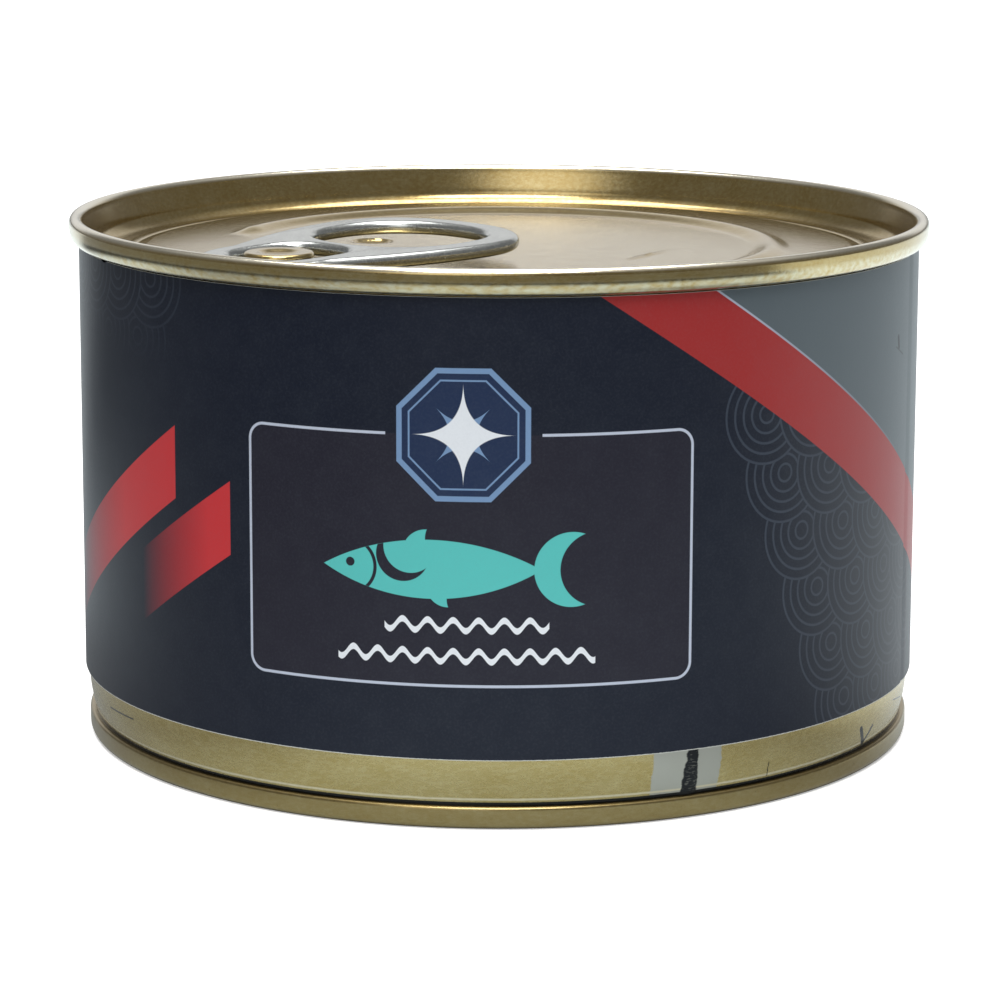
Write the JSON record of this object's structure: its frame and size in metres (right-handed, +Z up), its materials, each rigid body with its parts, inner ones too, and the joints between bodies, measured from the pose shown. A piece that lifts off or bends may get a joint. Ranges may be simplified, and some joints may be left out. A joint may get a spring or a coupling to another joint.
{
  "type": "tuna can",
  "caption": "Shut round tinplate food can with a ring-pull lid, double seams at both ends, a drawn-in foot for stacking and a printed paper wrap.",
  "frame": {"origin": "centre of the standing face under the bottom seam", "axes": "+Z up along the can's axis; -Y towards the front of the wrap; +X to the right seen from the front"},
  "size_m": [0.0866, 0.0866, 0.0525],
  "materials": {
    "lacquered_tinplate": "gold lacquer on tinplate, satin gloss",
    "lid_tinplate": "bright tinplate under a warm clear lacquer",
    "pull_metal": "bare bright metal with rolled edges",
    "printed_paper": "coated paper with a satin sheen"
  },
  "bodies": {
    "root": {"can_body": "lacquered_tinplate", "bottom_end": "lacquered_tinplate", "lid": "lid_tinplate", "ring_pull": "pull_metal", "wrap": "printed_paper"}
  },
  "joints": []
}
